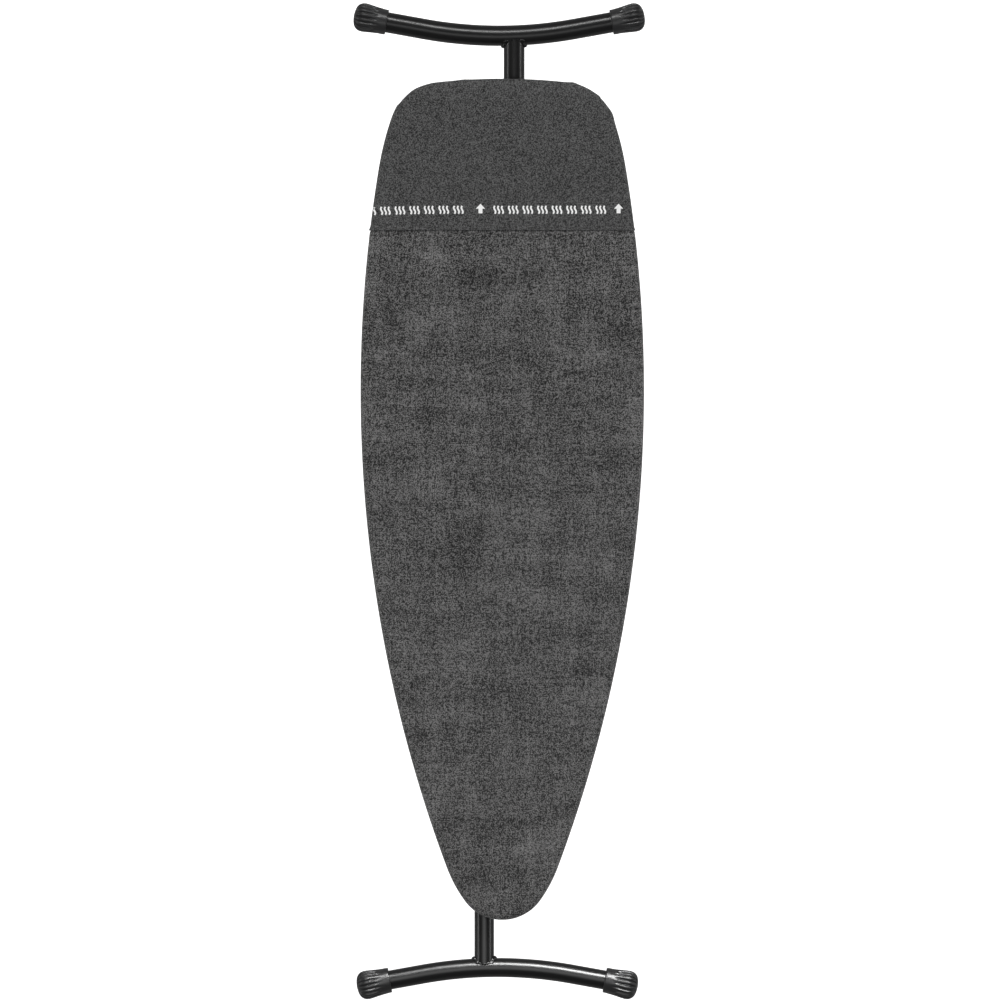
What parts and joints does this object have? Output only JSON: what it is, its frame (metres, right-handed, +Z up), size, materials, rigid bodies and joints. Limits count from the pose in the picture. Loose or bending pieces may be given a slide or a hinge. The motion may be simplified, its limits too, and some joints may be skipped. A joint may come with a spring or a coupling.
{
  "type": "ironing board",
  "caption": "Folding ironing board with a tapered padded top, a heat-resistant parking zone at the wide end and two crossing tubular T-legs, folded flat.",
  "frame": {"origin": "centre of the folded board's footprint, on the surface that it lies on", "axes": "+Y towards the wide end, -Y towards the nose, +X to the right seen from above, +Z up out of the ironing face"},
  "size_m": [0.4694, 1.6024, 0.0753],
  "materials": {
    "main_fabric": "matte woven cotton-look, dark grey",
    "heat_fabric": "silicone-coated heat-resistant cloth, dark grey",
    "cord": "braided polyester",
    "foam": "open-cell foam with felt",
    "frame_paint": "gloss black powder coat",
    "mesh_paint": "satin black coat",
    "leg_paint": "gloss black powder coat",
    "rail_steel": "galvanised sheet",
    "rod_steel": "ground bright rod",
    "zinc": "bright zinc plate",
    "spring_steel": "hardened, oiled",
    "nylon": "glass-filled nylon",
    "plug_plastic": "moulded, fine texture",
    "grip_plastic": "moulded, soft sheen",
    "cap_plastic": "semi-matte dark grey, ribbed",
    "rubber": "matte"
  },
  "bodies": {
    "board": {"cover_main": "main_fabric", "cover_heat_zone": "heat_fabric", "cover_drawcord": "cord", "foam_pad": "foam", "board_frame": "frame_paint", "mesh_top": "mesh_paint", "brace_nose": "frame_paint", "brace_rail_end": "frame_paint", "brace_lock": "frame_paint", "brace_middle": "frame_paint", "brace_hinge_front": "frame_paint", "brace_hinge_back": "frame_paint", "brace_wide_end": "frame_paint", "slide_rail_left": "rail_steel", "slide_rail_right": "rail_steel", "hinge_bracket_left": "rail_steel", "hinge_bracket_right": "rail_steel", "hinge_bushes": "nylon", "rail_stops": "rubber", "leg_bumpers": "rubber", "frame_screws": "zinc", "lock_housing": "rail_steel", "housing_rivets": "zinc", "lever_pin": "zinc", "hook_bracket": "rail_steel", "hook_pin": "zinc", "lock_spring": "spring_steel"},
    "nose_leg": {"leg_tube_nose": "leg_paint", "leg_gussets_nose": "leg_paint", "leg_plug_nose": "plug_plastic", "foot_bar_nose": "leg_paint", "foot_weld_nose": "leg_paint", "pivot_sleeve_nose": "zinc", "foot_cap_nose_left": "cap_plastic", "foot_cap_nose_right": "cap_plastic", "hinge_tube": "leg_paint", "hinge_tube_plugs": "plug_plastic", "pivot_bolt": "zinc", "pivot_nut": "zinc", "pivot_spacer": "nylon", "pivot_washers": "zinc"},
    "wide_leg": {"leg_tube_wide": "leg_paint", "leg_gussets_wide": "leg_paint", "leg_plug_wide": "plug_plastic", "foot_bar_wide": "leg_paint", "foot_weld_wide": "leg_paint", "pivot_sleeve_wide": "zinc", "foot_cap_wide_left": "cap_plastic", "foot_cap_wide_right": "cap_plastic", "slide_tube": "leg_paint", "slide_spigots": "zinc", "latch_stud": "zinc"},
    "slide_carriage": {"glide_shoe_left": "nylon", "glide_shoe_right": "nylon", "rod_clamp": "nylon", "lock_rod": "rod_steel"},
    "release_lever": {"release_lever": "zinc", "lever_grip": "grip_plastic"},
    "jam_plate": {"jam_plate": "spring_steel"},
    "transport_hook": {"transport_hook": "plug_plastic"}
  },
  "joints": [
    {"name": "fold", "type": "hinge", "parent": "board", "child": "nose_leg", "pos_m": [0, 0.448, 0.051], "axis": [1, 0, 0], "range_deg": [0, 48]},
    {"name": "leg_cross", "type": "hinge", "parent": "nose_leg", "child": "wide_leg", "pos_m": [0, -0.0045, 0.023], "axis": [1, 0, 0], "range_deg": [-96, 0]},
    {"name": "slide_pivot", "type": "hinge", "parent": "wide_leg", "child": "slide_carriage", "pos_m": [0, -0.457, 0.051], "axis": [1, 0, 0], "range_deg": [0, 48]},
    {"name": "lever_pull", "type": "hinge", "parent": "board", "child": "release_lever", "pos_m": [-0.032, -0.016, 0.057], "axis": [0, 0, 1], "range_deg": [0, 6], "stiffness_Nm_per_rad": 2, "springref_deg": -5.73},
    {"name": "jam_tilt", "type": "hinge", "parent": "board", "child": "jam_plate", "pos_m": [-0.003, -0.01, 0.043], "axis": [1, 0, 0], "range_deg": [-6, 0], "deforming": ["lock_spring"]},
    {"name": "hook_swing", "type": "hinge", "parent": "board", "child": "transport_hook", "pos_m": [0.0435, 0.58, 0.046], "axis": [1, 0, 0], "range_deg": [0, 32]}
  ],
  "couplings": [
    {"joint": "leg_cross", "follows": "fold", "ratio": -2},
    {"joint": "slide_pivot", "follows": "fold", "ratio": 1},
    {"joint": "jam_tilt", "follows": "lever_pull", "ratio": -1}
  ]
}
